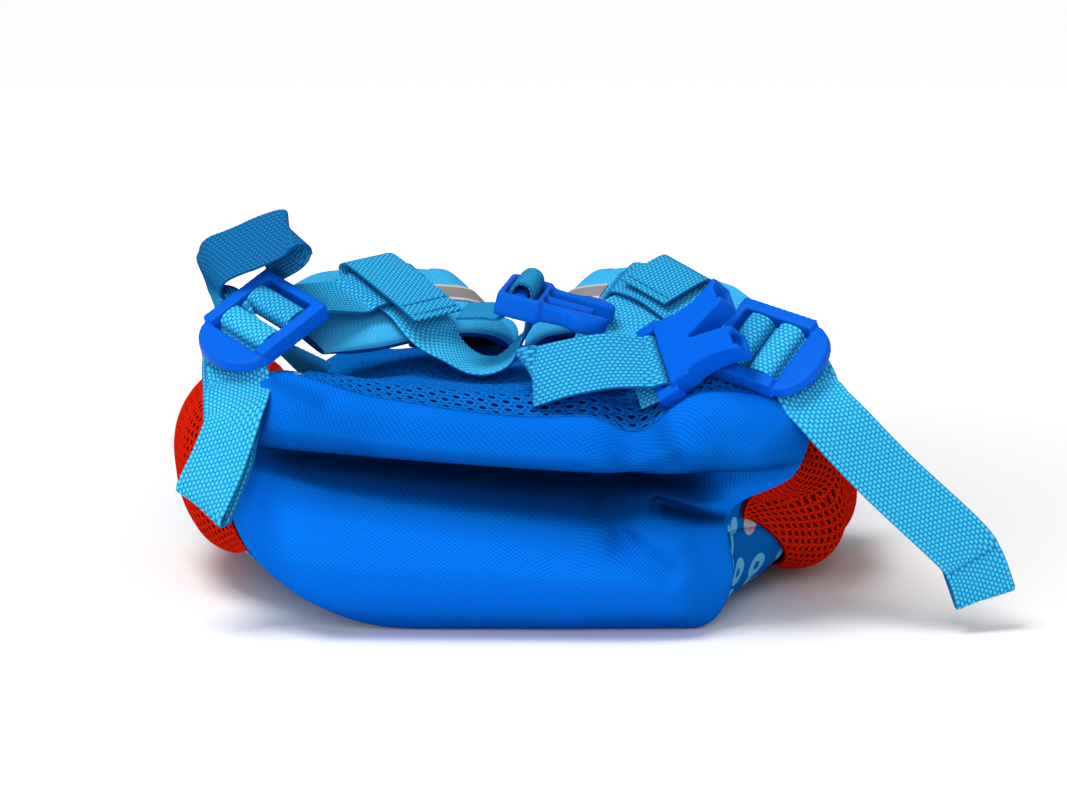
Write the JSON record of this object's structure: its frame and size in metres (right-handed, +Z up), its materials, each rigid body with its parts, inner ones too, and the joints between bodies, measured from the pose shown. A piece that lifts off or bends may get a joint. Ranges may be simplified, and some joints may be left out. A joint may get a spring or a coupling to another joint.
{
  "type": "mini backpack",
  "caption": "Empty child's mini backpack lying on its front, with padded shoulder straps, ladder locks, mesh side pockets and an undone chest strap buckle.",
  "frame": {"origin": "on the ground, below the middle of the whole as it lies", "axes": "+Y from the base panel to the bag's mouth, +Z up from the front panel to the back panel, +X to the right of someone facing the base"},
  "size_m": [0.2762, 0.3064, 0.13],
  "materials": {
    "printed_cloth": "matte woven cloth with a pale print",
    "base_cloth": "matte fine weave",
    "air_mesh": "padded mesh with round holes",
    "zip_tape": "matte tape",
    "pocket_mesh": "knitted mesh with open holes",
    "strap_cloth": "matte fine weave",
    "reflective_tape": "grey reflective tape",
    "webbing": "ribbed webbing",
    "blue_plastic": "moulded, lightly glossy"
  },
  "bodies": {
    "root": {"front_panel": "printed_cloth", "gusset_right": "printed_cloth", "gusset_left": "printed_cloth", "back_panel": "air_mesh", "top_panel": "base_cloth", "zip_tape_upper": "zip_tape", "zip_tape_lower": "zip_tape", "zip_slider": "blue_plastic", "base_panel": "base_cloth", "side_pocket_left": "pocket_mesh", "side_pocket_right": "pocket_mesh", "strap_pad_left": "strap_cloth", "strap_pad_right": "strap_cloth", "reflective_strip_left": "reflective_tape", "reflective_strip_right": "reflective_tape", "strap_webbing_left": "webbing", "strap_webbing_right": "webbing", "ladder_lock_left": "blue_plastic", "ladder_lock_right": "blue_plastic", "adjuster_webbing_left": "webbing", "adjuster_webbing_right": "webbing", "chest_webbing_left": "webbing", "chest_webbing_right": "webbing", "buckle_male": "blue_plastic", "buckle_female": "blue_plastic"}
  },
  "joints": []
}
